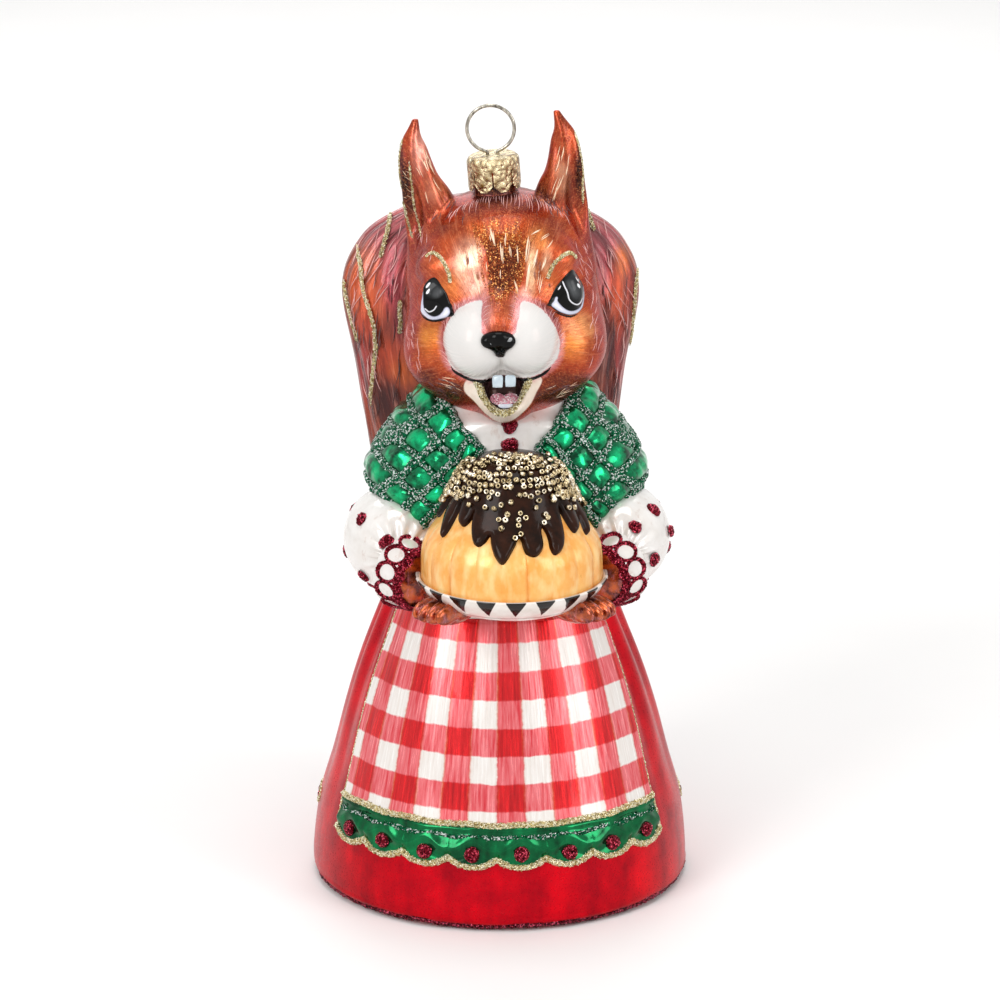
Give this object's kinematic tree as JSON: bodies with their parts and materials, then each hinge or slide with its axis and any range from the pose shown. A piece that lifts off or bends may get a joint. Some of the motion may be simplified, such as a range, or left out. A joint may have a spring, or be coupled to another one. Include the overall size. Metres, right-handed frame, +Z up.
{
  "type": "hanging squirrel ornament",
  "caption": "Blown-glass squirrel in a long skirt, apron and cape, holding a pudding, with a crown cap and loop.",
  "frame": {"origin": "middle of the flat foot of the skirt", "axes": "+Z up along the figure, -Y towards the way the squirrel faces, +X towards its left hand"},
  "size_m": [0.0764, 0.086, 0.159],
  "materials": {
    "skirt_glass": "candy red lacquer over silvered glass",
    "blouse_glass": "pearly white lacquer",
    "fur_glass": "copper and orange lacquer with painted fur",
    "white_enamel": "gloss white enamel",
    "black_enamel": "gloss black enamel",
    "mouth_enamel": "dark gloss enamel",
    "tongue_glitter": "pink glitter",
    "tail_glass": "rose, copper and maroon lacquer",
    "cape_glass": "emerald lacquer over silvered glass",
    "silver_glitter": "silver-green glitter",
    "red_glitter": "dark red glitter",
    "gold_glitter": "pale gold glitter",
    "paw_glass": "copper lacquer",
    "plate_enamel": "gloss white enamel with a black border",
    "pudding_glass": "pearly yellow lacquer",
    "icing_enamel": "gloss dark brown enamel",
    "bead_gold": "gold-coated beads",
    "apron_enamel": "red and white enamel checks",
    "cap_brass": "bright stamped sheet",
    "wire_brass": "bright drawn wire"
  },
  "bodies": {
    "glass": {"skirt": "skirt_glass", "blouse": "blouse_glass", "head": "fur_glass", "neck": "fur_glass", "muzzle": "white_enamel", "nose": "black_enamel", "mouth": "mouth_enamel", "lower_jaw": "white_enamel", "jaw_line": "gold_glitter", "teeth": "white_enamel", "tongue": "tongue_glitter", "eye_left": "black_enamel", "eye_right": "black_enamel", "ear_left": "fur_glass", "ear_right": "fur_glass", "brow_lines": "gold_glitter", "cape_left": "cape_glass", "cape_right": "cape_glass", "cape_lattice_left": "silver_glitter", "cape_lattice_right": "silver_glitter", "blouse_buttons": "red_glitter", "plate": "plate_enamel", "pudding": "pudding_glass", "icing": "icing_enamel", "sugar_beads": "bead_gold", "tail": "tail_glass", "tail_lines": "gold_glitter", "sleeve_left": "blouse_glass", "sleeve_right": "blouse_glass", "cuff_left": "blouse_glass", "cuff_right": "blouse_glass", "cuff_lace_left": "red_glitter", "cuff_lace_right": "red_glitter", "paw_left": "paw_glass", "paw_right": "paw_glass", "sleeve_dots_left": "red_glitter", "sleeve_dots_right": "red_glitter", "apron": "apron_enamel", "apron_border": "cape_glass", "apron_braid": "gold_glitter", "apron_dots": "red_glitter", "hem_line": "red_glitter", "skirt_sprigs": "gold_glitter", "sprig_dots": "red_glitter"},
    "cap": {"crown_cap": "cap_brass"},
    "hanger": {"hanger_wire": "wire_brass"}
  },
  "joints": [
    {"name": "cap_pull", "type": "slide", "parent": "glass", "child": "cap", "axis": [-0.0732, 0, 0.9973], "range_m": [0, 0.014]},
    {"name": "loop_pull", "type": "slide", "parent": "cap", "child": "hanger", "axis": [-0.0732, 0, 0.9973], "range_m": [0, 0.003]}
  ]
}
